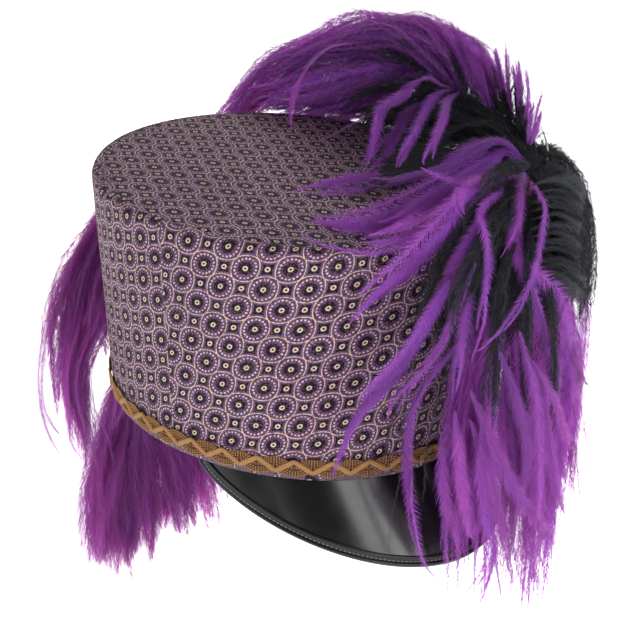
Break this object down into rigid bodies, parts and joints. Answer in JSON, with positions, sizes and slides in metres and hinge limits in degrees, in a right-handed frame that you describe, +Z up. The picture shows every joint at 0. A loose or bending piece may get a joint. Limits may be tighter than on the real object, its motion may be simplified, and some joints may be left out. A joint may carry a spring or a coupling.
{
  "type": "shako",
  "caption": "Shako with a flared oval brocade crown, gold gimp braid, drooping patent leather peak and a purple and black ostrich feather plume on the wearer's left.",
  "frame": {"origin": "centre of the rim's plane, where the hat sits on a head", "axes": "+Z up through the crown, the front with the peak at -Y, the wearer's left with the plume at +X"},
  "size_m": [0.2161, 0.2974, 0.3495],
  "materials": {
    "brocade": "woven jacquard with fine metallic thread",
    "gold_braid": "corded gimp with a satin metallic thread",
    "patent_leather": "high gloss",
    "stem_metal": "matt black",
    "purple_feather": "soft dyed barbs",
    "black_feather": "soft dyed barbs"
  },
  "bodies": {
    "root": {"crown_side": "brocade", "crown_top": "brocade", "braid_band": "gold_braid", "visor": "patent_leather", "visor_binding": "patent_leather", "plume_stem": "stem_metal", "plume_crest": "purple_feather", "plume_front": "purple_feather", "plume_black": "black_feather", "plume_fall": "purple_feather"}
  },
  "joints": []
}
